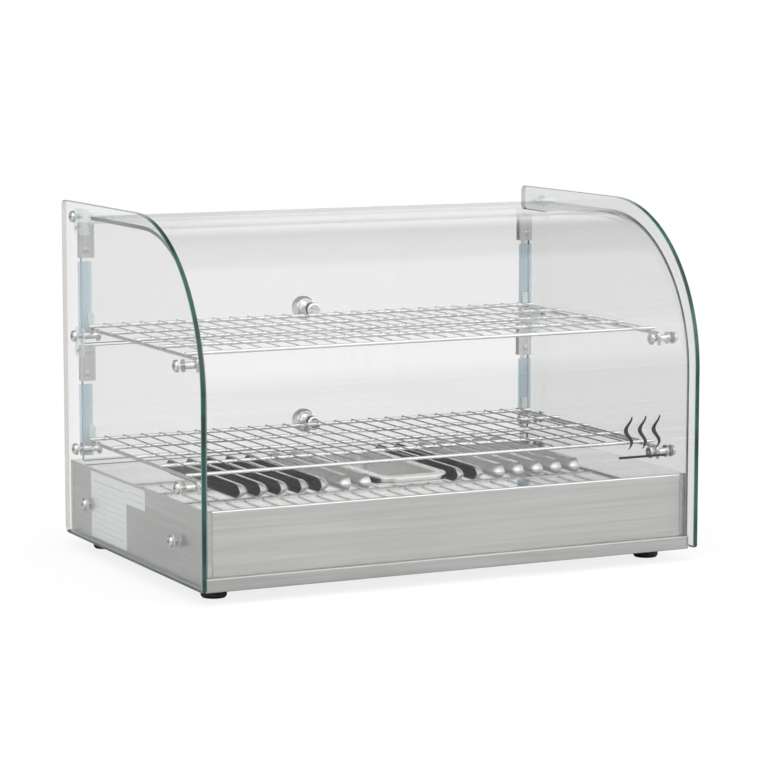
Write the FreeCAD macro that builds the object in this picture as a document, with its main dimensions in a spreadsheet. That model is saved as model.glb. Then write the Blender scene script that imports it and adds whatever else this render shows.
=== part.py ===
import FreeCAD, Part
import math
import os
from types import SimpleNamespace

import Sketcher
from FreeCAD import Placement, Rotation, Vector

# Countertop hot food display case. Millimetres, +Z up, the serving side faces -Y.
# The origin is at the middle of the footprint, on the surface that the feet stand on.

DIMENSIONS = {
    # side glasses
    "glass_outer": 270.0,       # outer face of each side glass, from the middle
    "glass_thick": 5.0,
    "glass_front": -193.0,
    "glass_rear": 172.0,
    "glass_low": 14.0,
    "glass_top": 358.0,
    "glass_arc": 165.0,
    "glass_hole": 3.2,
    "arris": 0.5,
    # bent front and top glass
    "bent_half": 262.0,
    "bent_thick": 4.0,
    "bent_face": -186.5,
    "bent_top": 345.0,
    "bent_low": 26.0,
    "bent_rear": 110.0,
    "bent_arc": 154.5,
    # base
    "base_half": 263.0,
    "base_low": 12.5,
    "wall_low": 13.8,
    "deck_top": 89.0,
    "base_front": -182.0,
    "base_rear": 174.0,
    "sheet": 1.0,
    "fold": 1.8,
    "lip_face": -187.5,
    "lip_depth": 5.2,
    "flange": 8.0,
    "base_screw_level": 52.0,
    "base_screw_rear": 110.5,
    "base_screw_front": -121.0,
    # louvres in the deck
    "deck_centre": 0.0,
    "louvre_pitch": 21.8,
    "louvre_reach": 12.5,
    "louvre_rise": 7.6,
    "louvre_skin": 0.8,
    "louvre_front": -96.0,
    "louvre_rear": 94.0,
    "outer_lip": 189.0,
    "inner_lip": 70.0,
    # water tray
    "tray_half": 41.0,
    "tray_front": -100.0,
    "tray_rear": 96.0,
    "tray_rim_top": 93.0,
    "tray_deep": 26.0,
    "tray_corner": 20.0,
    "tray_rim": 11.0,
    "tray_rim_low": 91.0,
    # feet
    "foot_across": 238.0,
    "foot_front": -145.0,
    "foot_rear": 140.0,
    "foot_wide": 12.6,
    # shelf posts
    "post_rear": 134.5,
    "post_front": -138.0,
    "post_low": 105.5,
    "post_high": 221.5,
    "post_inner": 247.0,
    "post_round": 3.5,
    "washer_round": 6.25,
    "washer_thick": 1.0,
    # wire shelves
    "rod_across": 252.0,
    "rod_round": 1.75,
    "rail_round": 1.9,
    "rail_end": 257.0,
    "rail_rear": 132.0,
    "rail_front": -125.0,
    "wire_round": 0.75,
    "wire_pitch": 20.0,
    "hook_face": -143.9,
    "hook_drop": 12.0,
    "tail_depth": 137.4,
    "tail_rise": 15.0,
    "sleeve_round": 3.2,
    # rear doors
    "door_half": 260.2,
    "door_inner": 142.5,
    "door_thick": 4.0,
    "door_pivot": 144.5,
    "pivot_drop": 5.0,
    "upper_door_low": 212.0,
    "upper_door_top": 336.0,
    "lower_door_low": 91.0,
    "lower_door_top": 210.0,
    "clamp_tall": 36.0,
    "clamp_wide": 15.5,
    "clamp_plate": 1.2,
    "clamp_pad": 0.8,
    "clamp_end": 262.2,
    "pin_round": 2.0,
    "pin_end": 264.7,
    "pin_fit": 0.06,
    "strip_wide": 13.0,
    "strip_skin": 1.0,
    "strip_fin": 262.5,
    "knob_round": 13.0,
    "knob_reach": 33.5,
    "knob_rise": 23.5,
    # clear clips and brackets
    "bracket_inner": 262.9,
    "clip_level": 343.0,
    "clip_screw": 135.0,
    # rear controls
    "dial_across": 120.0,
    "switch_across": 40.0,
    "lamp_across": 0.0,
    "gland_across": -180.0,
    "dial_level": 52.0,
    "dial_round": 19.0,
    "dial_rear": 193.0,
    # heater
    "heater_level": 50.0,
    "heater_round": 4.0,
    "heater_half": 190.0,
    "heater_front": -140.0,
    "heater_rear": 60.0,
}


class Size:
    """A number together with the spreadsheet formula that it comes from."""

    def __init__(self, value, text):
        self.value = value
        self.text = text

    def __add__(self, other):
        return combine(self, other, "+")

    def __radd__(self, other):
        return combine(other, self, "+")

    def __sub__(self, other):
        return combine(self, other, "-")

    def __rsub__(self, other):
        return combine(other, self, "-")

    def __mul__(self, other):
        return combine(self, other, "*")

    def __rmul__(self, other):
        return combine(other, self, "*")

    def __truediv__(self, other):
        return combine(self, other, "/")

    def __neg__(self):
        return combine(0, self, "-")


def as_size(item):
    if isinstance(item, Size):
        return item
    return Size(float(item), f"({float(item)})")


def combine(first, second, sign):
    first = as_size(first)
    second = as_size(second)
    results = {
        "+": first.value + second.value,
        "-": first.value - second.value,
        "*": first.value * second.value,
    }
    value = first.value / second.value if sign == "/" else results[sign]
    return Size(value, f"({first.text} {sign} {second.text})")


def make_sheet(doc):
    """Writes the driving dimensions and returns them as Sizes, by name."""
    sheet = doc.addObject("Spreadsheet::Sheet", "Dims")
    for row, (name, value) in enumerate(DIMENSIONS.items(), start=1):
        sheet.set(f"A{row}", name)
        sheet.set(f"B{row}", str(value))
        sheet.setAlias(f"B{row}", name)
    doc.recompute()
    return SimpleNamespace(**{name: Size(value, f"Dims.{name}") for name, value in DIMENSIONS.items()})


doc = FreeCAD.newDocument("DisplayCase")
D = make_sheet(doc)
nodes = []


def bind(thing, prop, item):
    """Sets a property's number, and its formula where the size comes from the sheet."""
    item = as_size(item)
    if hasattr(thing, prop):
        setattr(thing, prop, item.value)
    if "Dims." in item.text:
        thing.setExpression(prop, item.text)


def place(thing, at, turn=None):
    """Puts an object at a point whose coordinates stay bound to the sheet."""
    at = [as_size(item) for item in at]
    thing.Placement = Placement(Vector(*[item.value for item in at]), turn or Rotation())
    for axis, item in zip("xyz", at):
        if "Dims." in item.text:
            thing.setExpression(f"Placement.Base.{axis}", item.text)


def keep(thing, label):
    """Marks an object as a sub-part of the case."""
    thing.Label = label
    nodes.append(thing)
    return thing


# ---------------------------------------------------------------- primitives

def block(name, low, high):
    box = doc.addObject("Part::Box", name)
    for prop, start, end in zip(("Length", "Width", "Height"), low, high):
        bind(box, prop, end - start)
    place(box, low)
    return box


TURNS = {
    "+X": Rotation(Vector(0, 1, 0), 90),
    "-X": Rotation(Vector(0, 1, 0), -90),
    "+Y": Rotation(Vector(1, 0, 0), -90),
    "-Y": Rotation(Vector(1, 0, 0), 90),
    "+Z": Rotation(),
    "-Z": Rotation(Vector(1, 0, 0), 180),
}


def rod(name, start, way, length, radius):
    cylinder = doc.addObject("Part::Cylinder", name)
    bind(cylinder, "Radius", radius)
    bind(cylinder, "Height", length)
    place(cylinder, start, TURNS[way])
    return cylinder


def cut(name, base, tool):
    result = doc.addObject("Part::Cut", name)
    result.Base = base
    result.Tool = tool
    return result


def fuse(name, base, tool):
    result = doc.addObject("Part::Fuse", name)
    result.Base = base
    result.Tool = tool
    return result


def tube(name, start, way, length, outside, inside):
    outer = rod(name + "_outside", start, way, length, outside)
    inner = rod(name + "_inside", start, way, length, inside)
    return cut(name, outer, inner)


def mirrored(name, source):
    """The same piece on the other side of the middle plane."""
    result = doc.addObject("Part::Mirroring", name)
    result.Source = source
    result.Base = Vector(0, 0, 0)
    result.Normal = Vector(1, 0, 0)
    return result


def group(name, members):
    result = doc.addObject("Part::Compound", name)
    result.Links = members
    return result


def both_sides(label, members):
    """One node of separate solids: the members and their mirror images."""
    side = group(label + "_side", members)
    other = mirrored(label + "_other_side", side)
    return keep(group(label, [side, other]), label)


def copy_at(source, at, turn=None):
    link = doc.addObject("App::Link", source.Name + "_copy")
    link.LinkedObject = source
    place(link, at, turn)
    return link


# ------------------------------------------------------------ bodies, sketches

def new_body(name):
    body = doc.addObject("PartDesign::Body", name)
    body.AllowCompound = True
    return body


def new_sketch(body, name, plane, offset=0):
    """A sketch on one of the body's own origin planes, moved along the plane's normal."""
    sketch = body.newObject("Sketcher::SketchObject", name)
    feature = next(item for item in body.Origin.OriginFeatures if item.Role == plane)
    sketch.AttachmentSupport = [(feature, "")]
    sketch.MapMode = "FlatFace"
    offset = as_size(offset)
    sketch.AttachmentOffset = Placement(Vector(0, 0, offset.value), Rotation())
    if "Dims." in offset.text:
        sketch.setExpression("AttachmentOffset.Base.z", offset.text)
    return sketch


def constrain(sketch, rules):
    """Adds rules (kind, geometry and point numbers, size); each size stays bound to the sheet."""
    sizes = [as_size(rule[-1]) for rule in rules]
    made = [Sketcher.Constraint(*rule[:-1], size.value) for rule, size in zip(rules, sizes)]
    for index, size in zip(sketch.addConstraint(made), sizes):
        if "Dims." in size.text:
            sketch.setExpression(f"Constraints[{index}]", size.text)


def pinned(geometry, point, across, up):
    """The two rules that fix a point's place."""
    return [("DistanceX", -1, 1, geometry, point, across), ("DistanceY", -1, 1, geometry, point, up)]


def circle(sketch, across, up, radius):
    across, up, radius = as_size(across), as_size(up), as_size(radius)
    centre = Vector(across.value, up.value, 0)
    index = sketch.addGeometry(Part.Circle(centre, Vector(0, 0, 1), radius.value))
    constrain(sketch, pinned(index, 3, across, up) + [("Radius", index, radius)])


def stepped(corner, towards, distance):
    """The point a distance from a corner along its axis-parallel side."""
    run = towards[0].value - corner[0].value
    rise = towards[1].value - corner[1].value
    if abs(run) > abs(rise):
        return corner[0] + distance * math.copysign(1, run), corner[1]
    return corner[0], corner[1] + distance * math.copysign(1, rise)


def outline(sketch, corners, closed=True):
    """A loop or path of straight sides; a third number rounds a corner between axis-parallel sides."""
    corners = [[as_size(item) for item in corner] for corner in corners]
    knots = []
    for index, corner in enumerate(corners):
        if len(corner) == 2:
            knots.append((corner[0], corner[1], None))
            continue
        before = corners[index - 1]
        after = corners[(index + 1) % len(corners)]
        start = stepped(corner, before, corner[2])
        end = stepped(corner, after, corner[2])
        centre = (start[0].value + end[0].value - corner[0].value,
                  start[1].value + end[1].value - corner[1].value)
        knots.append((start[0], start[1], (centre, corner[2])))
        knots.append((end[0], end[1], None))
    sides = len(knots) if closed else len(knots) - 1
    ends = [add_side(sketch, knots[index], knots[(index + 1) % len(knots)]) for index in range(sides)]
    joins = [Sketcher.Constraint("Coincident", ends[index - 1][0], ends[index - 1][2], *ends[index][:2])
             for index in range(0 if closed else 1, sides)]
    sketch.addConstraint(joins)
    rules = []
    for knot, (geometry, start, _) in zip(knots, ends):
        rules += pinned(geometry, start, knot[0], knot[1])
        rules += [("Radius", geometry, knot[2][1])] if knot[2] else []
    if not closed:
        rules += pinned(ends[-1][0], ends[-1][2], knots[-1][0], knots[-1][1])
    constrain(sketch, rules)


def add_side(sketch, knot, following):
    """Adds the line or arc from one knot to the next; returns its index and its end numbers."""
    start = Vector(knot[0].value, knot[1].value, 0)
    end = Vector(following[0].value, following[1].value, 0)
    if knot[2] is None:
        return sketch.addGeometry(Part.LineSegment(start, end)), 1, 2
    (across, up), radius = knot[2]
    centre = Vector(across, up, 0)
    from_start = start - centre
    from_end = end - centre
    turns_left = from_start.cross(from_end).z > 0
    first = from_start if turns_left else from_end
    last = from_end if turns_left else from_start
    ring = Part.Circle(centre, Vector(0, 0, 1), radius.value)
    arc = Part.ArcOfCircle(ring, math.atan2(first.y, first.x), math.atan2(last.y, last.x))
    index = sketch.addGeometry(arc)
    return (index, 1, 2) if turns_left else (index, 2, 1)


def rectangle(sketch, left, low, right, top, corner=0):
    points = [(left, low), (right, low), (right, top), (left, top)]
    outline(sketch, [point + (corner,) for point in points] if corner else points)


def pad(body, sketch, length, name, backwards=False):
    feature = body.newObject("PartDesign::Pad", name)
    feature.Profile = sketch
    feature.Reversed = backwards
    bind(feature, "Length", length)
    sketch.Visibility = False
    return feature


def pocket(body, sketch, length, name, backwards=False):
    """Cuts against the sketch's normal, or along it when backwards; it must remove something."""
    doc.recompute()
    before = body.Shape.Volume
    feature = body.newObject("PartDesign::Pocket", name)
    feature.Profile = sketch
    feature.Reversed = backwards
    bind(feature, "Length", length)
    doc.recompute()
    if body.Shape.Volume > before - 0.01:
        raise RuntimeError(f"{body.Name}.{name} cuts nothing")
    return feature


def spin(body, sketch, name):
    """A full turn about the sketch's upright axis."""
    feature = body.newObject("PartDesign::Revolution", name)
    feature.Profile = sketch
    feature.ReferenceAxis = (sketch, ["V_Axis"])
    feature.Angle = 360
    return feature


def edge_names(shape, wanted):
    return [f"Edge{index}" for index, edge in enumerate(shape.Edges, start=1) if wanted(edge)]


def dress(body, kind, size, wanted, name):
    """A fillet or chamfer on the edges of the body that pass the test."""
    doc.recompute()
    base = body.Tip
    feature = body.newObject(f"PartDesign::{kind}", name)
    feature.Base = (base, edge_names(base.Shape, wanted))
    bind(feature, "Radius" if kind == "Fillet" else "Size", size)
    doc.recompute()
    return feature


# ------------------------------------------------------------------ fasteners

def pan_screw(name, head, rise, shank, length):
    """A cross-recessed pan-head screw that points down, with its seat at the origin."""
    body = new_body(name)
    profile = new_sketch(body, name + "_profile", "XZ_Plane")
    outline(profile, [(0, -length), (shank, -length), (shank, 0), (head, 0),
                      (head, rise, rise * 0.62), (0, rise)])
    spin(body, profile, name + "_turned")
    recess = new_sketch(body, name + "_recess", "XY_Plane", rise)
    arm = head * 0.52
    half = head * 0.11
    outline(recess, [(-half, -arm), (half, -arm), (half, -half), (arm, -half), (arm, half), (half, half),
                     (half, arm), (-half, arm), (-half, half), (-arm, half), (-arm, -half), (-half, -half)])
    pocket(body, recess, rise * 0.6, name + "_cross")
    return body


# ---------------------------------------------------------------------- glass

def side_holes():
    """Where the side glass is drilled: height and depth of each screw."""
    holes = [(D.base_screw_rear, D.base_screw_level), (D.base_screw_front, D.base_screw_level)]
    holes += [(depth, level) for depth in (D.post_rear, D.post_front) for level in (D.post_low, D.post_high)]
    holes.append((D.clip_screw, D.clip_level))
    return holes


def make_side_glasses():
    body = new_body("left_pane")
    sketch = new_sketch(body, "left_pane_outline", "YZ_Plane", -D.glass_outer)
    outline(sketch, [(D.glass_rear, D.glass_low, 8), (D.glass_rear, D.glass_top, 6),
                     (D.glass_front, D.glass_top, D.glass_arc), (D.glass_front, D.glass_low, 3)])
    for depth, level in side_holes():
        circle(sketch, depth, level, D.glass_hole)
    pad(body, sketch, D.glass_thick, "left_pane_slab")
    dress(body, "Chamfer", D.arris,
          lambda edge: edge.BoundBox.XLength < 0.01 and not edge.isClosed(), "left_pane_arris")
    keep(body, "left_side_glass")
    keep(mirrored("right_pane", body), "right_side_glass")


def make_bent_glass():
    body = new_body("bent_glass")
    sketch = new_sketch(body, "bent_glass_outline", "YZ_Plane", -D.bent_half)
    inner_arc = D.bent_arc - D.bent_thick
    back = D.bent_face + D.bent_thick
    under = D.bent_top - D.bent_thick
    outline(sketch, [(D.bent_rear, D.bent_top), (D.bent_face, D.bent_top, D.bent_arc), (D.bent_face,
                                                                                        D.bent_low),
                     (back, D.bent_low), (back, under, inner_arc), (D.bent_rear, under)])
    pad(body, sketch, D.bent_half * 2, "bent_glass_slab")
    dress(body, "Chamfer", D.arris, lambda edge: True, "bent_glass_arris")
    keep(body, "front_curved_glass")


# ----------------------------------------------------------------------- base

def make_bottom_tray():
    """Folded pan whose front edge turns up and back into the ledge that the bent glass stands on."""
    body = new_body("pan")
    sketch = new_sketch(body, "pan_fold", "YZ_Plane", -D.base_half + 0.5)
    rear = D.base_rear - D.sheet
    back = D.lip_face + D.lip_depth
    ledge = D.bent_low
    outline(sketch, [(rear, D.base_low), (D.lip_face, D.base_low, 1.5), (D.lip_face, ledge, 1.5), (back,
                                                                                                   ledge),
                     (back, ledge - D.sheet), (D.lip_face + D.sheet, ledge - D.sheet),
                     (D.lip_face + D.sheet, D.base_low + D.sheet), (rear, D.base_low + D.sheet)])
    pad(body, sketch, D.base_half * 2 - 1, "pan_sheet")
    holes = new_sketch(body, "pan_foot_holes", "XY_Plane", D.base_low + D.sheet)
    for across in (-D.foot_across, D.foot_across):
        for depth in (D.foot_front, D.foot_rear):
            circle(holes, across, depth, 2.3)
    pocket(body, holes, D.sheet + 1, "pan_drilling")
    keep(body, "bottom_tray")


def louvre_places():
    """Where each louvre's raised lip stands, and the way that it opens: 1 towards +X, -1 towards -X."""
    places = []
    for side in (-1, 1):
        for step in range(5):
            places.append((D.deck_centre + side * (D.outer_lip - D.louvre_pitch * step), side))
        for step in range(2):
            places.append((D.deck_centre + side * (D.inner_lip - D.louvre_pitch * step), -side))
    return places


def make_deck_cover():
    body = new_body("cover")
    wall_half = D.base_half - D.flange - 0.3
    fold = new_sketch(body, "cover_fold", "YZ_Plane", -wall_half)
    under = D.deck_top - D.sheet
    front, rear, skin = D.base_front, D.base_rear, D.sheet
    outline(fold, [(front, D.wall_low), (front + skin, D.wall_low), (front + skin, under, D.fold - skin),
                   (rear - skin, under, D.fold - skin), (rear - skin, D.wall_low), (rear, D.wall_low),
                   (rear, D.deck_top, D.fold), (front, D.deck_top, D.fold)])
    pad(body, fold, wall_half * 2, "cover_walls")
    wide = new_sketch(body, "cover_plate_outline", "XY_Plane", under)
    rectangle(wide, -D.base_half, front + D.fold, D.base_half, rear - D.fold)
    pad(body, wide, D.sheet, "cover_plate")
    well = new_sketch(body, "cover_well", "XY_Plane", D.deck_top)
    gap = D.tray_rim - 3
    left, right = D.deck_centre - D.tray_half + gap, D.deck_centre + D.tray_half - gap
    rectangle(well, left, D.tray_front + gap, right, D.tray_rear - gap, 12)
    pocket(body, well, D.sheet + 1, "cover_opening")
    add_rear_cutouts(body)
    keep(press_louvres(body), "deck_cover")


def capsule(name, radius, sink):
    """A round-ended bar along Y; its axis lies the sink below the deck, on the lip's plane."""
    front, rear = D.louvre_front + D.louvre_reach, D.louvre_rear - D.louvre_reach
    level = D.deck_top - sink
    bar = rod(name + "_bar", (0, front, level), "+Y", rear - front, radius)
    ends = []
    for label, depth in (("front", front), ("rear", rear)):
        ball = doc.addObject("Part::Sphere", f"{name}_{label}_ball")
        bind(ball, "Radius", radius)
        place(ball, (0, depth, level))
        ends.append(ball)
    return fuse(name + "_whole", fuse(name + "_part", bar, ends[0]), ends[1])


def press_louvres(cover):
    """Slits whose one lip is pressed up; the sheet slopes from the lip down to the deck all round."""
    reach, rise = D.louvre_reach, D.louvre_rise
    radius = (reach * reach + rise * rise) / (rise * 2)
    sink = radius - rise
    front, rear = D.louvre_front - 5, D.louvre_rear + 5
    outer = capsule("louvre_outside", radius, sink)
    inner = capsule("louvre_inside", radius - D.louvre_skin, sink)
    under, over = D.deck_top - D.sheet, D.deck_top + rise + 4
    window = block("louvre_window", (0, front, under), (reach + 4, rear, over))
    gap = block("louvre_gap", (0, front, under - 1), (reach + 4, rear, over))
    shell = doc.addObject("Part::MultiCommon", "louvre_dome")
    shell.Shapes = [outer, window]
    hollow = doc.addObject("Part::MultiCommon", "louvre_hollow")
    hollow.Shapes = [inner, gap]
    others = {1: (shell, hollow), -1: (mirrored("dome_other", shell), mirrored("hollow_other", hollow))}
    domes, hollows = [], []
    for lip, way in louvre_places():
        domes.append(copy_at(others[-way][0], (lip, 0, 0)))
        hollows.append(copy_at(others[-way][1], (lip, 0, 0)))
    pressed = doc.addObject("Part::MultiFuse", "cover_with_domes")
    pressed.Shapes = [cover] + domes
    return cut("cover_pressed", pressed, group("louvre_hollows", hollows))


def add_rear_cutouts(body):
    """Openings in the rear wall for the control shaft, switch, lamp and cable gland."""
    cutouts = new_sketch(body, "rear_cutouts", "XZ_Plane", -D.base_rear)
    level = D.dial_level
    circle(cutouts, D.dial_across, level, 5.2)
    rectangle(cutouts, D.switch_across - 10.2, level - 14.2, D.switch_across + 10.2, level + 14.2)
    circle(cutouts, D.lamp_across, level, 5.1)
    circle(cutouts, D.gland_across, level, 6.2)
    pocket(body, cutouts, D.sheet + 1, "rear_openings", backwards=True)


def make_side_panels():
    """Folded end panels; their flanges close the corners beside the deck cover's walls."""
    body = new_body("end_panel")
    sketch = new_sketch(body, "end_panel_fold", "XY_Plane", D.wall_low)
    outer, skin, flange = -D.base_half, D.sheet, D.flange
    front, rear = D.base_front, D.base_rear
    outline(sketch, [(outer + flange, front), (outer, front, 1.4), (outer, rear, 1.4), (outer + flange,
                                                                                        rear),
                     (outer + flange, rear - skin), (outer + skin, rear - skin), (outer + skin,
                                                                                  front + skin),
                     (outer + flange, front + skin)])
    pad(body, sketch, D.deck_top - D.sheet - D.wall_low - 0.1, "end_panel_sheet")
    holes = new_sketch(body, "end_panel_holes", "YZ_Plane", outer)
    for depth in (D.base_screw_rear, D.base_screw_front):
        circle(holes, depth, D.base_screw_level, 3.1)
    pocket(body, holes, 2, "end_panel_drilling", backwards=True)
    keep(body, "left_side_panel")
    keep(mirrored("end_panel_other", body), "right_side_panel")


def make_feet():
    foot = new_body("foot")
    profile = new_sketch(foot, "foot_profile", "XZ_Plane")
    height = D.base_low
    outline(profile, [(2.3, 6), (6, 6), (6, 0), (D.foot_wide - 1.5, 0), (D.foot_wide, 2), (D.foot_wide,
                                                                                           height, 1),
                      (2.3, height)])
    spin(foot, profile, "foot_turned")
    screw = pan_screw("foot_screw", 4.2, 2.6, 2.0, D.base_low - 6 + D.sheet + 5)
    places = [(across, depth) for across in (-D.foot_across, D.foot_across)
              for depth in (D.foot_front, D.foot_rear)]
    keep(group("feet", [copy_at(foot, (x, y, 0)) for x, y in places]), "rubber_feet")
    screws = [copy_at(screw, (x, y, 6), TURNS["-Z"]) for x, y in places]
    keep(group("foot_screws", screws), "feet_screws")
    nuts = [tube("foot_nut", (x, y, D.base_low + D.sheet), "+Z", 3.2, 4.0, 2.02) for x, y in places]
    keep(group("foot_nuts", nuts), "feet_nuts")


def make_water_tray():
    """Drawn tray: a flat rim that overhangs the shallow shoulder it rests on, round a deep bowl."""
    body = new_body("humidity_tray")
    rim_top = D.tray_rim_top
    left, right = D.deck_centre - D.tray_half, D.deck_centre + D.tray_half
    front, rear = D.tray_front, D.tray_rear
    rim = new_sketch(body, "tray_rim_outline", "XY_Plane", D.tray_rim_low)
    rectangle(rim, left, front, right, rear, D.tray_corner)
    pad(body, rim, rim_top - D.tray_rim_low, "tray_rim_slab")
    step = 3
    shoulder = new_sketch(body, "tray_shoulder_outline", "XY_Plane", D.deck_top + 0.05)
    rectangle(shoulder, left + step, front + step, right - step, rear - step, D.tray_corner - step)
    pad(body, shoulder, D.tray_rim_low - D.deck_top, "tray_shoulder")
    well = D.tray_rim
    bowl = new_sketch(body, "tray_bowl_outline", "XY_Plane", rim_top - D.tray_deep)
    rectangle(bowl, left + well, front + well, right - well, rear - well, D.tray_corner - well)
    pad(body, bowl, D.tray_deep - 2, "tray_bowl")
    space = well + 0.8
    hollow = new_sketch(body, "tray_hollow_outline", "XY_Plane", rim_top)
    rectangle(hollow, left + space, front + space, right - space, rear - space, D.tray_corner - space)
    pocket(body, hollow, D.tray_deep - 0.8, "tray_hollow")
    dress(body, "Fillet", 1.6,
          lambda edge: abs(edge.BoundBox.ZMax - rim_top.value) < 0.01 and edge.BoundBox.ZLength < 0.01,
          "tray_roll")
    keep(body, "water_tray")


# --------------------------------------------------- what holds the glass

def screw_row(label, template, places, left_turn):
    """Copies of a screw on the left, by depth and height, and their mirror images on the right."""
    copies = [copy_at(template, place_, TURNS[left_turn]) for place_ in places]
    both_sides(label, copies)


def make_base_fixings():
    level = D.base_screw_level
    spots = [(depth, level) for depth in (D.base_screw_rear, D.base_screw_front)]
    face = -D.glass_outer - D.washer_thick
    screw = pan_screw("base_screw", 5.8, 3.4, 2.0, D.glass_outer + D.washer_thick - 256)
    screw_row("base_screws", screw, [(face, depth, z) for depth, z in spots], "-X")
    gap = D.base_half - (D.glass_outer - D.glass_thick)
    seals = [tube("base_seal", (face, y, z), "+X", D.washer_thick, D.washer_round, 2.1) for y, z in spots]
    inner = -D.glass_outer + D.glass_thick
    spacers = [tube("base_spacer", (inner, y, z), "+X", -gap, 6.0, 2.1) for y, z in spots]
    both_sides("base_spacers", seals + spacers)
    nuts = [tube("base_nut", (-D.base_half + D.sheet, y, z), "+X", 6, 4.5, 2.02) for y, z in spots]
    both_sides("base_nuts", nuts)


def post_spots():
    """Depth, height and outer end of each shelf post; the upper rear one stands on the door bracket."""
    seat = D.glass_outer - D.glass_thick - D.washer_thick
    return [(D.post_front, D.post_low, seat), (D.post_front, D.post_high, seat),
            (D.post_rear, D.post_low, seat), (D.post_rear, D.post_high, D.bracket_inner)]


def make_posts():
    bore = 2.1
    spots = post_spots()
    sleeves = [tube("post_sleeve", (-seat, y, z), "+X", seat - D.post_inner, D.post_round, bore)
               for y, z, seat in spots]
    both_sides("shelf_posts", sleeves)
    face = -D.glass_outer - D.washer_thick
    outer = pan_screw("post_outer_screw", 5.8, 3.4, 2.0, 12)
    screw_row("shelf_post_screws", outer, [(face, y, z) for y, z, _ in spots], "-X")
    inner = pan_screw("post_inner_screw", D.washer_round, 2.8, 2.0, 8)
    screw_row("shelf_post_end_screws", inner, [(-D.post_inner, y, z) for y, z, _ in spots], "+X")
    seals = [tube("post_seal", (face, y, z), "+X", D.washer_thick, D.washer_round, bore) for y, z,
             _ in spots]
    both_sides("shelf_post_seals", seals)
    washers = [tube("post_washer", (-seat - D.washer_thick, y, z), "+X", D.washer_thick, D.washer_round,
                    bore)
               for y, z, seat in spots[:3]]
    both_sides("shelf_post_washers", washers)


def make_glass_clips():
    """Moulded clips: jaws for the bent glass's rear corner, and an eye for the upper door's pin."""
    body = new_body("clip")
    outer = -D.glass_outer + D.glass_thick
    plate_low = D.upper_door_top - D.pivot_drop - 6
    web = D.bent_rear + 0.4
    plate = new_sketch(body, "clip_plate_outline", "YZ_Plane", outer)
    rectangle(plate, web, plate_low, D.door_pivot + 6, D.bent_top + 6, 4)
    circle(plate, D.door_pivot, D.upper_door_top - D.pivot_drop, D.pin_round + D.pin_fit)
    circle(plate, D.clip_screw, D.clip_level, 2.1)
    pad(body, plate, -outer - D.bracket_inner, "clip_plate")
    jaws = new_sketch(body, "clip_jaw_outline", "YZ_Plane", outer + 0.2)
    tip = D.bent_rear - 14
    over = D.bent_top + 0.2
    under = D.bent_top - D.bent_thick - 0.2
    outline(jaws, [(web + 3, under - 3.2), (web + 3, over + 3.2), (tip, over + 3.2, 1.5), (tip, over),
                   (web, over),
                   (web, under), (tip, under), (tip, under - 3.2, 1.5)])
    pad(body, jaws, 16, "clip_jaws")
    both_sides("glass_clips", [body])
    screw = pan_screw("clip_screw", 5.8, 3.4, 2.0, D.glass_outer + D.washer_thick - D.bracket_inner + 2)
    screw_row("clip_screws", screw, [(-D.glass_outer - D.washer_thick, D.clip_screw, D.clip_level)], "-X")
    seal = tube("clip_seal", (-D.glass_outer - D.washer_thick, D.clip_screw, D.clip_level), "+X",
                D.washer_thick, D.washer_round, 2.1)
    both_sides("clip_seals", [seal])


def make_door_brackets():
    """Clear plates on the upper rear posts, with an eye for the lower door's pin."""
    body = new_body("door_bracket")
    outer = -D.glass_outer + D.glass_thick
    pivot = D.lower_door_top - D.pivot_drop
    sketch = new_sketch(body, "door_bracket_outline", "YZ_Plane", outer)
    rectangle(sketch, D.post_rear - 8, pivot - 6, D.door_pivot + 6, D.post_high + 8, 5)
    circle(sketch, D.door_pivot, pivot, D.pin_round + D.pin_fit)
    circle(sketch, D.post_rear, D.post_high, 2.1)
    pad(body, sketch, -outer - D.bracket_inner, "door_bracket_plate")
    both_sides("door_brackets", [body])


# -------------------------------------------------------------------- shelves

def make_shelf(name, post):
    """Wire grid on two hooked end rods; clear sleeves on the rear ends stop the doors."""
    rod_level = post + D.post_round + D.rod_round + 0.3
    rail_level = rod_level + D.rod_round + D.rail_round
    wire_level = rail_level + D.rail_round + D.wire_round - 0.25
    grid = new_body(name + "_grid")
    rails = new_sketch(grid, name + "_rail_ends", "YZ_Plane", -D.rail_end)
    for step in range(5):
        circle(rails, D.rail_front + (D.rail_rear - D.rail_front) * (step / 4), rail_level, D.rail_round)
    pad(grid, rails, D.rail_end * 2, name + "_rails")
    wires = new_sketch(grid, name + "_wire_ends", "XZ_Plane", -D.rail_rear - 1)
    for step in range(-12, 13):
        circle(wires, D.wire_pitch * step, wire_level, D.wire_round)
    pad(grid, wires, D.rail_rear - D.rail_front + 2, name + "_wires")
    keep(grid, name)
    both_sides(name + "_end_rods", [end_rod(name, rod_level)])
    top = rod_level + D.tail_rise
    low = rod_level + 5.6
    at = (-D.rod_across, D.tail_depth)
    outside = rod(name + "_sleeve_outside", at + (low,), "+Z", top + 1.5 - low, D.sleeve_round)
    inside = rod(name + "_sleeve_inside", at + (low,), "+Z", top - low, D.rod_round + 0.02)
    both_sides(name + "_bumpers", [cut(name + "_sleeve", outside, inside)])


def end_rod(name, level):
    """Down over the front post, back across both posts, then up at the rear."""
    body = new_body(name + "_end_rod")
    path = new_sketch(body, name + "_end_rod_path", "YZ_Plane", -D.rod_across)
    outline(path, [(D.hook_face, level - D.hook_drop), (D.hook_face, level, 4), (D.tail_depth, level, 4),
                   (D.tail_depth, level + D.tail_rise)], closed=False)
    section = new_sketch(body, name + "_end_rod_section", "XY_Plane", level - D.hook_drop)
    circle(section, -D.rod_across, D.hook_face, D.rod_round)
    doc.recompute()
    pipe = body.newObject("PartDesign::AdditivePipe", name + "_end_rod_pipe")
    pipe.Profile = section
    pipe.Spine = path
    return body


# ---------------------------------------------------------------------- doors

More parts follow.
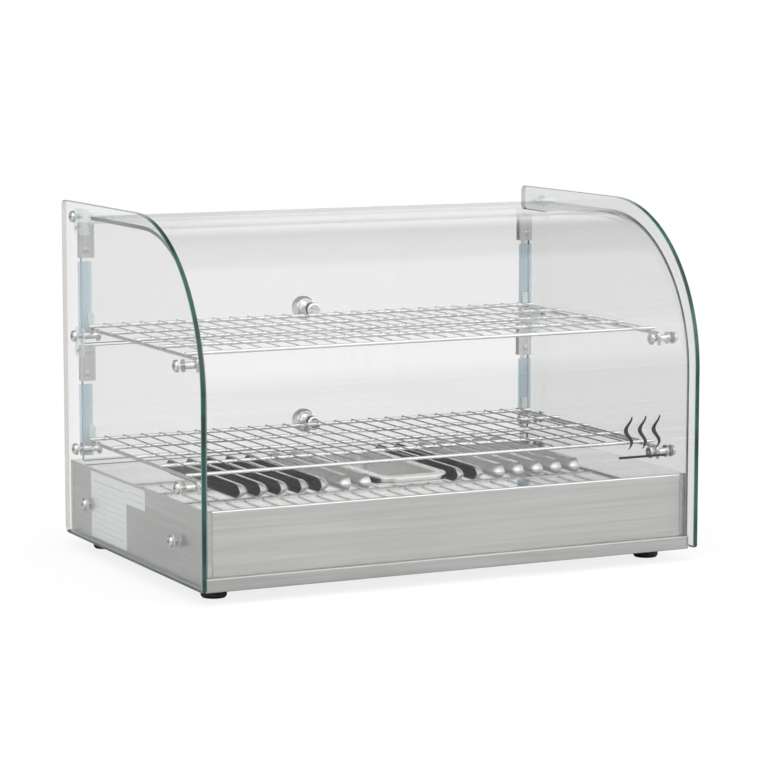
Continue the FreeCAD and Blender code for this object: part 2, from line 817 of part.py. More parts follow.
def make_door(name, low, top):
    """Glass flap, hung at its top corners, with a knob near its lower edge."""
    knob_level = low + D.knob_rise
    outer = D.door_inner + D.door_thick
    pane = new_body(name + "_pane")
    sketch = new_sketch(pane, name + "_pane_outline", "XZ_Plane", -outer)
    rectangle(sketch, -D.door_half, low, D.door_half, top, 2)
    circle(sketch, 0, knob_level, D.glass_hole)
    pad(pane, sketch, D.door_thick, name + "_pane_slab")
    dress(pane, "Chamfer", D.arris,
          lambda edge: edge.BoundBox.YLength < 0.01 and not edge.isClosed(), name + "_pane_arris")
    keep(pane, name + "_door_glass")
    make_clamps(name, top)
    both_sides(name + "_edge_strips", [edge_strip(name, low + 6, top - D.clamp_tall - 4)])
    make_knob(name, knob_level)


def channel(body, label, reach, end, inner, outer, skin, web, low, high, corner):
    """A U section that opens towards the middle of the case, extruded upwards."""
    sketch = new_sketch(body, label + "_section", "XY_Plane", low)
    outline(sketch, [(reach, inner), (end, inner, corner), (end, outer, corner), (reach, outer),
                     (reach, outer - skin), (end + web, outer - skin), (end + web, inner + skin),
                     (reach, inner + skin)])
    pad(body, sketch, high - low, label + "_slab")


def make_clamps(name, top):
    end = -D.clamp_end
    reach = end + D.clamp_wide
    stand = D.clamp_pad + D.clamp_plate
    inner = D.door_inner - stand
    outer = D.door_inner + D.door_thick + stand
    low = top - D.clamp_tall
    body = new_body(name + "_clamp")
    channel(body, name + "_clamp", reach, end, inner, outer, D.clamp_plate, D.clamp_plate, low, top, 1.0)
    levels = (low + 8, low + 30)
    holes = new_sketch(body, name + "_clamp_holes", "XZ_Plane", -inner)
    for level in levels:
        circle(holes, reach - 9, level, 2.1)
    pocket(body, holes, D.clamp_plate + 0.3, name + "_clamp_drilling", backwards=False)
    pin = new_sketch(body, name + "_pin_section", "YZ_Plane", -D.pin_end)
    circle(pin, D.door_pivot, top - D.pivot_drop, D.pin_round)
    pad(body, pin, D.pin_end - D.clamp_end + 0.6, name + "_pin")
    both_sides(name + "_hinge_clamps", [body])
    lining = new_body(name + "_lining")
    channel(lining, name + "_lining", reach - 1, end + D.clamp_plate, inner + D.clamp_plate,
            outer - D.clamp_plate, D.clamp_pad, D.clamp_pad, low + 1, top - 1, 0.4)
    both_sides(name + "_clamp_pads", [lining])
    screw = pan_screw(name + "_clamp_screw", 3.0, 1.8, 2.0, D.clamp_plate)
    places = [(reach - 9, inner, level) for level in levels]
    screw_row(name + "_clamp_screws", screw, places, "-Y")


def edge_strip(name, low, high):
    """Clear seal pushed over the pane's upright edge, thick enough at its end to close the gap."""
    body = new_body(name + "_strip")
    end = -D.strip_fin
    channel(body, name + "_strip", end + D.strip_wide, end, D.door_inner - D.strip_skin,
            D.door_inner + D.door_thick + D.strip_skin, D.strip_skin, D.strip_fin - D.door_half, low, high,
            0.8)
    return body


def make_knob(name, level):
    outer = D.door_inner + D.door_thick
    collar = rod(name + "_knob_collar", (0, outer, level), "+Y", 2.5, 7.5)
    neck = rod(name + "_knob_neck", (0, outer, level), "+Y", D.knob_reach - D.knob_round, 5.2)
    ball = doc.addObject("Part::Sphere", name + "_knob_ball")
    bind(ball, "Radius", D.knob_round)
    place(ball, (0, outer + D.knob_reach - D.knob_round, level))
    whole = fuse(name + "_knob_solid", fuse(name + "_knob_stem", collar, neck), ball)
    thread = rod(name + "_knob_thread", (0, outer - 1, level), "+Y", 8, 2.02)
    keep(cut(name + "_knob", whole, thread), name + "_door_knob")
    screw = pan_screw(name + "_knob_screw_body", 7.5, 3.2, 2.0, D.door_thick + 6)
    keep(group(name + "_knob_screw_group", [copy_at(screw, (0, D.door_inner, level), TURNS["-Y"])]),
         name + "_knob_screw")


# ----------------------------------------------------------- rear controls

def make_thermostat():
    x, z = D.dial_across, D.dial_level
    rear = D.base_rear
    case = block("thermostat_case", (x - 18, rear - 30, z - 14), (x + 18, rear - 6, z + 14))
    bush = rod("thermostat_bush", (x, rear - 8, z), "+Y", 7 + 2.4, 4.8)
    bore = rod("thermostat_bore", (x, rear - 22, z), "+Y", 30, 3.06)
    keep(cut("thermostat_shell", fuse("thermostat_solid", case, bush), bore), "thermostat_body")
    keep(rod("dial_shaft", (x, rear - 20, z), "+Y", D.dial_rear - rear + 20 - 3, 3.0), "thermostat_shaft")
    body = new_body("dial")
    profile = new_sketch(body, "dial_profile", "XZ_Plane")
    high = D.dial_rear - rear - 0.6
    start = 2.4
    outline(profile, [(3.02, start), (D.dial_round, start), (D.dial_round, start + 3.4, 1.2),
                      (D.dial_round - 4, start + 3.4), (D.dial_round - 5, high, 1.5), (0, high),
                      (0, high - 2.5), (3.02, high - 2.5)])
    spin(body, profile, "dial_turned")
    grips = new_sketch(body, "dial_grips", "XY_Plane", high)
    for step in range(18):
        angle = math.radians(20 * step)
        circle(grips, (D.dial_round - 4.2) * math.cos(angle), (D.dial_round - 4.2) * math.sin(angle), 0.9)
    pocket(body, grips, high - start - 4, "dial_flutes")
    place(body, (x, rear + 0.6, z), TURNS["+Y"])
    keep(body, "thermostat_knob")
    bulb = rod("bulb", (x - 70, rear - 50, z + 24), "+X", 55, 3.0)
    lead = rod("bulb_lead", (x - 16, rear - 50, z + 24), "+Y", 26, 0.9)
    drop = rod("bulb_drop", (x - 16, rear - 24, z + 14), "+Z", 10.5, 0.9)
    keep(fuse("bulb_and_lead", fuse("bulb_part", bulb, lead), drop), "thermostat_bulb")


def make_switch():
    """Rocker switch: a housing with two trunnion holes, and the rocker tipped to its off side."""
    x, z = D.switch_across, D.dial_level
    rear = D.base_rear
    shell = block("switch_shell", (x - 10, rear - 26, z - 14), (x + 10, rear, z + 14))
    bezel = block("switch_bezel", (x - 12, rear, z - 16), (x + 12, rear + 1.8, z + 16))
    well = block("switch_well", (x - 7.5, rear - 13, z - 12), (x + 7.5, rear + 3, z + 12))
    trunnions = rod("switch_trunnion_holes", (x - 8.8, rear - 5, z), "+X", 17.6, 1.56)
    solid = cut("switch_hollow", fuse("switch_solid", shell, bezel), well)
    keep(cut("switch_case", solid, trunnions), "switch_housing")
    body = new_body("rocker")
    profile = new_sketch(body, "rocker_profile", "YZ_Plane", -7.0)
    outline(profile, [(-3, -10), (8.2, -10.6), (6.2, 0), (8.2, 10.6), (-3, 10), (-5, 0)])
    pad(body, profile, 14, "rocker_slab")
    pins = new_sketch(body, "rocker_pin_section", "YZ_Plane", -8.6)
    circle(pins, 0, 0, 1.5)
    pad(body, pins, 17.2, "rocker_pins")
    place(body, (x, rear - 5, z), Rotation(Vector(1, 0, 0), 8))
    keep(body, "switch_rocker")


def make_lamp_and_gland():
    rear, z = D.base_rear, D.dial_level
    x = D.lamp_across
    flange = rod("lamp_flange", (x, rear, z), "+Y", 1.6, 7.0)
    barrel = rod("lamp_barrel", (x, rear - 18, z), "+Y", 19, 5.0)
    seat = rod("lamp_seat", (x, rear - 8, z), "+Y", 12, 4.0)
    keep(cut("lamp_shell", fuse("lamp_solid", barrel, flange), seat), "pilot_lamp_body")
    stem = rod("lens_stem", (x, rear - 7.9, z), "+Y", 10, 3.95)
    cap = rod("lens_cap", (x, rear + 1.65, z), "+Y", 3.2, 5.4)
    rounded = doc.addObject("Part::Fillet", "lens_rounded")
    rounded.Base = fuse("lens_solid", stem, cap)
    doc.recompute()
    rim = edge_names(rounded.Base.Shape, lambda edge: edge.isClosed()
                     and edge.BoundBox.YMax > rear.value + 4.8)
    rounded.Edges = [(int(name[4:]), 2.4, 2.4) for name in rim]
    keep(rounded, "pilot_lamp_lens")
    x = D.gland_across
    nut = rod("gland_flange", (x, rear, z), "+Y", 5, 9.5)
    dome = rod("gland_dome", (x, rear, z), "+Y", 15, 7.5)
    thread = rod("gland_thread", (x, rear - 9, z), "+Y", 10, 6.0)
    locknut = rod("gland_locknut", (x, rear - 6, z), "+Y", 6 - D.sheet, 9.5)
    solid = fuse("gland_outside", fuse("gland_nut_dome", nut, dome), fuse("gland_inside", thread, locknut))
    bore = rod("gland_bore", (x, rear - 10, z), "+Y", 26, 3.6)
    keep(cut("gland", solid, bore), "cable_gland")


def make_heater():
    """U-shaped tubular element on saddles, over a reflector that stands on the pan."""
    level, radius = D.heater_level, D.heater_round
    body = new_body("element")
    bend = (D.heater_rear - D.heater_front) / 2
    spine = new_sketch(body, "element_path", "XY_Plane", level)
    outline(spine, [(-D.heater_half, D.heater_rear), (D.heater_half, D.heater_rear, bend - 30),
                    (D.heater_half, D.heater_front, bend - 30), (-D.heater_half, D.heater_front)],
                    closed=False)
    section = new_sketch(body, "element_section", "YZ_Plane", -D.heater_half)
    circle(section, D.heater_rear, level, radius)
    doc.recompute()
    pipe = body.newObject("PartDesign::AdditivePipe", "element_pipe")
    pipe.Profile = section
    pipe.Spine = spine
    keep(body, "heating_element")
    reflector_top = D.base_low + 14
    saddles = []
    for across in (-120, 90):
        for depth in (D.heater_front, D.heater_rear):
            post = block("saddle", (across - 1, depth - 9, reflector_top), (across + 1, depth + 9,
                                                                            level + 9))
            hole = rod("saddle_hole", (across - 2, depth, level), "+X", 4, radius + 0.05)
            saddles.append(cut("saddle_drilled", post, hole))
    keep(group("saddles", saddles), "element_brackets")
    sheet = new_body("reflector")
    fold = new_sketch(sheet, "reflector_fold", "YZ_Plane", -215)
    front, rear = D.heater_front - 15, D.heater_rear + 15
    foot = D.base_low + D.sheet
    under = reflector_top - D.sheet
    outline(fold, [(front, foot), (front + D.sheet, foot), (front + D.sheet, under), (rear - D.sheet, under),
                   (rear - D.sheet, foot), (rear, foot), (rear, reflector_top, 1.5), (front, reflector_top,
                                                                                      1.5)])
    pad(sheet, fold, 430, "reflector_sheet")
    keep(sheet, "heat_reflector")
    floor = D.base_low + D.sheet
    terminals = block("terminals", (-205, 120, floor), (-150, 140, floor + 18))
    keep(terminals, "terminal_block")


def make_stickers():
    face = -D.base_half
    plate = block("plate", (face - 0.3, 16.0, 19.0), (face, 113.0, 86.0))
    notch = rod("plate_notch", (face - 1, D.base_screw_rear, D.base_screw_level), "+X", 2, 6.4)
    keep(cut("plate_notched", plate, notch), "rating_plate")
    keep(block("sticker", (face - 0.3, -33.5, 66.5), (face, 15.4, 86.5)), "small_label")


def check_and_export():
    doc.recompute()
    for thing in doc.Objects:
        if "Invalid" in thing.State or "Error" in thing.State:
            raise RuntimeError(f"{thing.Name}: {thing.State}")
    os.makedirs("parts", exist_ok=True)
    for thing in nodes:
        shape = thing.Shape
        if shape.isNull() or not shape.isValid() or not shape.Solids:
            raise RuntimeError(f"{thing.Label} has no valid solid")
        shape.exportStep(f"parts/{thing.Label}.step")
        print(f"{thing.Label:26s} solids {len(shape.Solids):3d}  volume {shape.Volume:12.1f} mm3")


make_bottom_tray()
make_deck_cover()
make_side_panels()
make_feet()
make_water_tray()
make_side_glasses()
make_bent_glass()
make_base_fixings()
make_posts()
make_glass_clips()
make_door_brackets()
make_shelf("upper_shelf", D.post_high)
make_shelf("lower_shelf", D.post_low)
make_door("upper", D.upper_door_low, D.upper_door_top)
make_door("lower", D.lower_door_low, D.lower_door_top)
make_thermostat()
make_switch()
make_lamp_and_gland()
make_heater()
make_stickers()
check_and_export()
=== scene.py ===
import math

import bpy
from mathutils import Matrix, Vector


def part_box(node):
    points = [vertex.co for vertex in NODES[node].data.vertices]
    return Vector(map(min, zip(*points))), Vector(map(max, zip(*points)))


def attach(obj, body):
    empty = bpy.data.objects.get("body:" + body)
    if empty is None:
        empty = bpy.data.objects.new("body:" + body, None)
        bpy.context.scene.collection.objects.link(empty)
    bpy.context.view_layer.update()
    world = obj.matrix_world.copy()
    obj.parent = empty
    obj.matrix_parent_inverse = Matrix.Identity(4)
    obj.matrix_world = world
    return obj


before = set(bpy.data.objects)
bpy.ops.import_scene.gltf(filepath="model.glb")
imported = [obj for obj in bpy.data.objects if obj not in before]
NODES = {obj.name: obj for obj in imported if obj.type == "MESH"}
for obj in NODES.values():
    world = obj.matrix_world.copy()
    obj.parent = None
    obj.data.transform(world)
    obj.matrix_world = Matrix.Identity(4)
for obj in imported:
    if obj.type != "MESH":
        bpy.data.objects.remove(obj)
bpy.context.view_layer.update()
MM = 0.001

GLASS_MIRROR_HEAD_ON = 0.042      # share of light that float glass mirrors when seen square on
GLASS_MIRROR_AT_GLANCE = 0.9      # what is added to that share at a grazing angle
GLASS_ROUGHNESS = 0.015
ARRIS_BEVEL_AND_HIGHLIGHT = (0.30, 0.42, 0.39, 1)    # the narrow bevel between a pane's face and its edge; its paler colour is partly the ground bevel and partly a painted highlight
REAR_RIM_SHARE = 0.50             # how far a rear rim lets the light through, compared with the others
RIM_REACH = 0.55 * MM             # depth of the band along a pane's end that counts as its rim
FOLD_PAINTED_HIGHLIGHT = 2.0                  # painted highlight: how much brighter the bend at the top of the deck's front is painted
DECK_TOP_PAINTED_SHADE = -0.15                # painted shade: how much darker the polished flat top of the deck is painted
POLISHED = 0.05                   # the roughness of that top


# ------------------------------------------------------------------ node helpers

class Shader:
    """A material's node tree, with short calls for the nodes that this scene uses."""

    def __init__(self, name):
        self.material = bpy.data.materials.new(name)
        self.material.use_nodes = True
        self.tree = self.material.node_tree
        self.tree.nodes.clear()
        self.out = self.node("ShaderNodeOutputMaterial")
        self.coords = self.node("ShaderNodeTexCoord")

    def node(self, kind, **settings):
        made = self.tree.nodes.new(kind)
        for name, value in settings.items():
            setattr(made, name, value)
        return made

    def feed(self, socket, item):
        """Links an output socket, or sets a plain value."""
        if isinstance(item, bpy.types.NodeSocket):
            self.tree.links.new(item, socket)
        else:
            socket.default_value = item

    def math(self, operation, first, second=0.0, third=0.0):
        made = self.node("ShaderNodeMath", operation=operation)
        for socket, item in zip(made.inputs, (first, second, third)):
            self.feed(socket, item)
        return made.outputs[0]

    def axes(self, vector):
        split = self.node("ShaderNodeSeparateXYZ")
        self.feed(split.inputs[0], vector)
        return split.outputs

    def noise(self, scale, detail=3.0, rough=0.55, stretch=None, distortion=0.0):
        """Noise over the object's own coordinates, in metres; stretch sets the scale along each axis."""
        source = self.coords.outputs["Object"]
        if stretch:
            mapping = self.node("ShaderNodeMapping")
            self.feed(mapping.inputs["Vector"], source)
            mapping.inputs["Scale"].default_value = stretch
            source = mapping.outputs[0]
        made = self.node("ShaderNodeTexNoise")
        self.feed(made.inputs["Vector"], source)
        made.inputs["Scale"].default_value = scale
        made.inputs["Detail"].default_value = detail
        made.inputs["Roughness"].default_value = rough
        made.inputs["Distortion"].default_value = distortion
        return made.outputs[0]

    def within(self, *ranges):
        """One where every value lies in its low..high range, and zero elsewhere."""
        inside = 1.0
        for item, low, high in ranges:
            over = self.math("GREATER_THAN", item, low)
            under = self.math("LESS_THAN", item, high)
            inside = self.math("MULTIPLY", self.math("MULTIPLY", over, under), inside)
        return inside

    def spread(self, item, low, high, start=0.0, end=1.0):
        """Maps start..end to low..high."""
        made = self.node("ShaderNodeMapRange")
        for name, value in (("Value", item), ("From Min", start), ("From Max", end), ("To Min", low),
                            ("To Max", high)):
            self.feed(made.inputs[name], value)
        return made.outputs[0]

    def blend(self, factor, first, second):
        """A colour between two colours."""
        made = self.node("ShaderNodeMix", data_type="RGBA")
        self.feed(made.inputs["Factor"], factor)
        self.feed(made.inputs[6], first)
        self.feed(made.inputs[7], second)
        return made.outputs[2]

    def bump(self, height, strength, distance):
        made = self.node("ShaderNodeBump")
        made.inputs["Strength"].default_value = strength
        made.inputs["Distance"].default_value = distance
        self.feed(made.inputs["Height"], height)
        return made.outputs[0]

    def principled(self, colour, rough, metal=0.0, normal=None, **plain):
        made = self.node("ShaderNodeBsdfPrincipled")
        self.feed(made.inputs["Base Color"], colour)
        self.feed(made.inputs["Roughness"], rough)
        made.inputs["Metallic"].default_value = metal
        if normal is not None:
            self.feed(made.inputs["Normal"], normal)
        for name, value in plain.items():
            made.inputs[name.replace("_", " ")].default_value = value
        return made.outputs[0]

    def mix(self, factor, first, second):
        made = self.node("ShaderNodeMixShader")
        self.feed(made.inputs[0], factor)
        self.feed(made.inputs[1], first)
        self.feed(made.inputs[2], second)
        return made.outputs[0]

    def finish(self, surface):
        self.feed(self.out.inputs["Surface"], surface)
        return self.material


def grey(level):
    return (level, level, level, 1.0)


# -------------------------------------------------------------------- materials

def brushed_steel(name, level, rough, grain, streak=0.16, fold_before=None):
    """Brushed sheet: scratches along the grain, faint bands and smudges.

    With fold_before, the flat top is polished and painted darker as painted shade, and the bend in front of
    that Y position gets a painted highlight.
    """
    s = Shader(name)

    def drawn(detail, grit, along, across):
        stretch = tuple(along if axis == grain else across for axis in "XYZ")
        return s.noise(1.0, detail=detail, rough=grit, stretch=stretch)

    scratches = drawn(4.0, 0.7, 8, 1500)
    lines = drawn(3.0, 0.6, 5, 300)
    bands = drawn(2.0, 0.55, 2, 60)
    smudge = s.noise(9.0, detail=3.0)
    tone = s.math("MULTIPLY_ADD", scratches, streak, level - streak * 1.7)
    tone = s.math("MULTIPLY_ADD", lines, streak * 1.6, tone)
    tone = s.math("MULTIPLY_ADD", bands, streak * 0.8, tone)
    sheen = s.spread(smudge, rough - 0.10, rough - 0.02, 0.3, 0.7)
    roughness = s.math("MULTIPLY_ADD", scratches, 0.14, sheen)
    depth = scratches
    if fold_before is not None:
        height = s.axes(s.coords.outputs["Normal"])[2]
        flat = s.spread(height, 0.0, 1.0, 0.90, 0.99)
        bend = s.spread(height, 0.0, 1.0, 0.15, 0.85)
        # A painted highlight on the bend in front of fold_before, and painted shade on the flat top, both
        # added to the colour.
        fold_highlight = s.math("MULTIPLY", bend, s.math("SUBTRACT", 1.0, bend))
        in_front = s.math("LESS_THAN", s.axes(s.coords.outputs["Object"])[1], fold_before)
        fold_highlight = s.math("MULTIPLY", fold_highlight, in_front)
        tone = s.math("MULTIPLY_ADD", fold_highlight, FOLD_PAINTED_HIGHLIGHT, s.math("MULTIPLY_ADD", flat, DECK_TOP_PAINTED_SHADE, tone))
        roughness = s.math("MULTIPLY_ADD", flat, s.math("SUBTRACT", POLISHED, roughness), roughness)
        depth = s.math("MULTIPLY", scratches, s.math("SUBTRACT", 1.0, flat))
    colour = s.node("ShaderNodeCombineColor")
    s.feed(colour.inputs[0], tone)
    s.feed(colour.inputs[1], tone)
    s.feed(colour.inputs[2], s.math("SUBTRACT", tone, 0.008))
    normal = s.bump(depth, 0.10, 0.2 * MM)
    return s.finish(s.principled(colour.outputs[0], roughness, 1.0, normal))


def chrome(name, level, rough, thin_above=None, wire_shade_level=0.0):
    """Bright plate with a slightly uneven skin; thin wires that lie above a height have their own level,
    which paints shade on them when it is low.
    """
    s = Shader(name)
    wave = s.noise(160.0, detail=2.0)
    speck = s.noise(900.0, detail=2.0)
    roughness = s.spread(speck, rough, rough + 0.07, 0.35, 0.75)
    colour = s.blend(wave, grey(level - 0.04), (level + 0.01, level + 0.005, level - 0.01, 1))
    if thin_above is not None:
        high = s.math("GREATER_THAN", s.axes(s.coords.outputs["Object"])[2], thin_above)
        # Painted shade: a low level here darkens the thin wires.
        wire_shade = s.blend(wave, grey(wire_shade_level - 0.03), (wire_shade_level - 0.02, wire_shade_level, wire_shade_level + 0.02, 1))
        colour = s.blend(high, colour, wire_shade)
    return s.finish(s.principled(colour, roughness, 1.0, s.bump(wave, 0.05, 0.3 * MM)))


def turned_steel(name, level, rough):
    s = Shader(name)
    speck = s.noise(1400.0, detail=3.0)
    roughness = s.spread(speck, rough, rough + 0.15, 0.3, 0.7)
    colour = s.blend(s.noise(220.0), grey(level - 0.06), (level + 0.02, level + 0.01, level - 0.02, 1))
    return s.finish(s.principled(colour, roughness, 1.0, s.bump(speck, 0.12, 0.05 * MM)))


def glass(name, edge_test, tint, edge_low, edge_high, rear_rim=None, rear_from=0.0):
    """Float glass: clear faces that mirror more at a glance, and green polished edges, paler at the arris,
    partly from the ground bevel and partly as a painted highlight.

    With rear_rim, the edges behind the Y position rear_from take that colour and let half the light by.
    """
    s = Shader(name)
    facing = s.node("ShaderNodeLayerWeight").outputs["Facing"]
    glance = s.math("POWER", facing, 5.0)
    mirror = s.math("MULTIPLY_ADD", glance, GLASS_MIRROR_AT_GLANCE, GLASS_MIRROR_HEAD_ON)
    clear = s.node("ShaderNodeBsdfTransparent")
    clear.inputs["Color"].default_value = tint
    shine = s.node("ShaderNodeBsdfGlossy")
    shine.inputs["Roughness"].default_value = GLASS_ROUGHNESS
    face = s.mix(mirror, clear.outputs[0], shine.outputs[0])
    streak = s.noise(11.0, detail=4.0, rough=0.65, distortion=0.3)
    edge_colour = s.blend(s.spread(streak, 0.0, 1.0, 0.42, 0.72), edge_low, edge_high)
    normal = s.axes(s.coords.outputs["Normal"])
    sideways = s.math("ABSOLUTE", normal[0])
    arris = s.within((sideways, 0.4, 0.9))
    # The paler arris is partly the ground bevel and partly a painted highlight.
    edge_colour = s.blend(s.math("MULTIPLY", arris, 0.5), edge_colour, ARRIS_BEVEL_AND_HIGHLIGHT)
    edge = edge_test(s)
    if rear_rim is not None:
        rear = s.math("GREATER_THAN", s.axes(s.coords.outputs["Object"])[1], rear_from)
        edge_colour = s.blend(rear, edge_colour, rear_rim)
        edge = s.math("MULTIPLY", edge, s.math("MULTIPLY_ADD", rear, -REAR_RIM_SHARE, 1.0))
    rim = s.principled(edge_colour, s.spread(streak, 0.10, 0.25), IOR=1.5)
    return s.finish(s.mix(edge, face, rim))


def side_rims(s):
    """The polished edges of a side glass: what doesn't face along X, apart from the drilled holes."""
    edge = s.math("LESS_THAN", s.math("ABSOLUTE", s.axes(s.coords.outputs["Normal"])[0]), 0.9)
    places = s.axes(s.coords.outputs["Object"])
    post_holes = (-0.16, 0.15, 0.03, 0.25)
    clip_hole = (0.10, 0.16, 0.33, 0.352)
    for front, rear, low, high in (post_holes, clip_hole):
        inside = s.within((places[1], front, rear), (places[2], low, high))
        edge = s.math("MULTIPLY", edge, s.math("SUBTRACT", 1.0, inside))
    return edge


def by_place(low, high, sides):
    """An edge is what lies within RIM_REACH of the named sides of a box."""
    def test(s):
        places = s.axes(s.coords.outputs["Object"])
        found = 0.0
        for axis, end in sides:
            index = "XYZ".index(axis)
            if end == "low":
                hit = s.math("LESS_THAN", places[index], low[index] + RIM_REACH)
            else:
                hit = s.math("GREATER_THAN", places[index], high[index] - RIM_REACH)
            found = s.math("MAXIMUM", hit, found)
        return found
    return test


def clear_plastic(name, colour, see, rough):
    """Moulded or extruded clear plastic: partly see-through, with a soft sheen."""
    s = Shader(name)
    cloud = s.noise(140.0, detail=3.0)
    tinted = s.blend(cloud, colour, tuple(min(c * 1.1, 1.0) for c in colour[:3]) + (1.0,))
    body = s.principled(tinted, s.spread(cloud, rough, rough + 0.15), normal=s.bump(cloud, 0.08, 0.2 * MM))
    clear = s.node("ShaderNodeBsdfTransparent")
    clear.inputs["Color"].default_value = tuple(min(c * 1.08, 1.0) for c in colour[:3]) + (1.0,)
    return s.finish(s.mix(see, body, clear.outputs[0]))


def moulded(name, colour, rough, grain=900.0, depth=0.08):
    """Opaque moulding or rubber with a fine texture."""
    s = Shader(name)
    fine = s.noise(grain, detail=4.0)
    worn = s.noise(60.0, detail=3.0)
    lighter = tuple(min(c * 1.5 + 0.01, 1.0) for c in colour[:3]) + (1.0,)
    tinted = s.blend(s.spread(worn, 0.0, 0.6, 0.4, 0.8), colour, lighter)
    roughness = s.spread(fine, rough - 0.06, rough + 0.1, 0.3, 0.7)
    return s.finish(s.principled(tinted, roughness, normal=s.bump(fine, 0.25, depth * MM)))


def blank_film(name, low, high, bars):
    """A blank sticker: pale film with plain ruled fields instead of any wording."""
    s = Shader(name)
    places = s.axes(s.coords.outputs["Object"])
    along = s.spread(places[1], 0.0, 1.0, low[1], high[1])
    up = s.spread(places[2], 0.0, 1.0, low[2], high[2])
    ink = 0.0
    for left, right, bottom, top in bars:
        ink = s.math("MAXIMUM", s.within((along, left, right), (up, bottom, top)), ink)
    paper = s.noise(700.0, detail=3.0)
    base = s.blend(paper, (0.80, 0.82, 0.84, 1), (0.86, 0.87, 0.88, 1))
    colour = s.blend(s.math("MULTIPLY", ink, 0.55), base, (0.30, 0.33, 0.36, 1))
    return s.finish(s.principled(colour, s.spread(paper, 0.35, 0.45), normal=s.bump(paper, 0.1, 0.05 * MM)))


# ---------------------------------------------------------------- assignments

def dress(material, *names):
    for name in names:
        slots = NODES[name].material_slots
        if not slots:
            NODES[name].data.materials.append(material)
        for slot in slots:
            slot.link = "OBJECT"
            slot.material = material


def dress_metal():
    fold_depth = 2.2 * MM
    fold_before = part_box("deck_cover")[0][1] + fold_depth
    dress(brushed_steel("steel_front", 0.64, 0.34, "X", fold_before=fold_before), "deck_cover")
    dress(brushed_steel("steel_pan", 0.45, 0.34, "X"), "bottom_tray")
    dress(brushed_steel("steel_side", 0.59, 0.36, "Y"), "left_side_panel", "right_side_panel")
    dress(brushed_steel("steel_tray", 0.82, 0.30, "Y"), "water_tray")
    dress(brushed_steel("steel_clamp", 0.66, 0.28, "Z"), "upper_hinge_clamps", "lower_hinge_clamps")
    dress(chrome("chrome_knob", 0.84, 0.04), "upper_door_knob", "lower_door_knob", "upper_knob_screw",
          "lower_knob_screw", "shelf_posts")
    thin_wire_layer = 1.35 * MM
    # The lower shelf's thin wires get a low level as painted shade; both shelves are the same chrome wire.
    for name, wire_shade in (("upper_shelf", 0.85), ("lower_shelf", 0.46)):
        wires_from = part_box(name)[1][2] - thin_wire_layer
        dress(chrome(name + "_wire", 0.84, 0.12, wires_from, wire_shade), name)
        dress(chrome(name + "_rod", 0.62, 0.12), name + "_end_rods")
    dress(turned_steel("screw_steel", 0.68, 0.18), "base_screws", "shelf_post_screws",
          "shelf_post_end_screws", "clip_screws", "upper_clamp_screws", "lower_clamp_screws",
          "shelf_post_washers")
    dress(turned_steel("zinc_plate", 0.55, 0.30), "feet_screws", "feet_nuts", "base_nuts",
          "thermostat_shaft", "thermostat_bulb", "element_brackets")
    dress(turned_steel("element_sheath", 0.30, 0.45), "heating_element")
    dress(brushed_steel("reflector_sheet", 0.78, 0.25, "X"), "heat_reflector")


def dress_glass():
    pale = (0.957, 0.959, 0.957, 1)
    deep_green, mid_green, warm_rear = (0.002, 0.026, 0.022, 1), (0.02, 0.13, 0.11, 1), (0.50, 0.46, 0.40, 1)
    rear_band = 2.5 * MM
    # The right pane lets less light through than the left as painted shade; both side panes are the same
    # glass.
    for name, level in (("left_side_glass", 0.985), ("right_side_glass", 0.89)):
        tint = (level, level + 0.003, level, 1)
        rear_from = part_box(name)[1][1] - rear_band
        dress(glass(name + "_mat", side_rims, tint, deep_green, mid_green, warm_rear, rear_from), name)
    low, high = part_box("front_curved_glass")
    ends = by_place(low, high, [("X", "low"), ("X", "high"), ("Y", "high")])
    dress(glass("curved_glass_mat", ends, pale, (0.09, 0.11, 0.11, 1), (0.24, 0.27, 0.265, 1)),
          "front_curved_glass")
    for name in ("upper_door_glass", "lower_door_glass"):
        low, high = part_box(name)
        rim = by_place(low, high, [("X", "low"), ("X", "high"), ("Z", "low"), ("Z", "high")])
        dress(glass(name + "_mat", rim, pale, (0.10, 0.20, 0.18, 1), (0.35, 0.46, 0.43, 1)), name)


def dress_plastic():
    dress(clear_plastic("clear_clip", (0.88, 0.91, 0.91, 1), 0.65, 0.15), "glass_clips", "door_brackets")
    dress(clear_plastic("clear_nylon", (0.82, 0.86, 0.86, 1), 0.45, 0.25), "base_spacers",
          "shelf_post_seals", "clip_seals")
    dress(clear_plastic("clear_silicone", (0.84, 0.90, 0.87, 1), 0.40, 0.30), "upper_shelf_bumpers",
          "lower_shelf_bumpers")
    dress(clear_plastic("clear_seal", (0.76, 0.83, 0.87, 1), 0.62, 0.12), "upper_edge_strips",
          "lower_edge_strips")
    dress(clear_plastic("clear_pad", (0.74, 0.80, 0.82, 1), 0.50, 0.20), "upper_clamp_pads",
          "lower_clamp_pads")
    dress(moulded("black_rubber", (0.012, 0.012, 0.013, 1), 0.62, 700.0), "rubber_feet")
    dress(moulded("black_moulding", (0.02, 0.02, 0.021, 1), 0.42), "thermostat_knob", "switch_housing",
          "cable_gland", "pilot_lamp_body")
    dress(moulded("rocker_moulding", (0.018, 0.018, 0.02, 1), 0.2, 1200.0, 0.02), "switch_rocker")
    dress(moulded("phenolic", (0.55, 0.50, 0.40, 1), 0.5), "thermostat_body", "terminal_block")
    dress(clear_plastic("amber_lens", (0.95, 0.38, 0.06, 1), 0.25, 0.10), "pilot_lamp_lens")


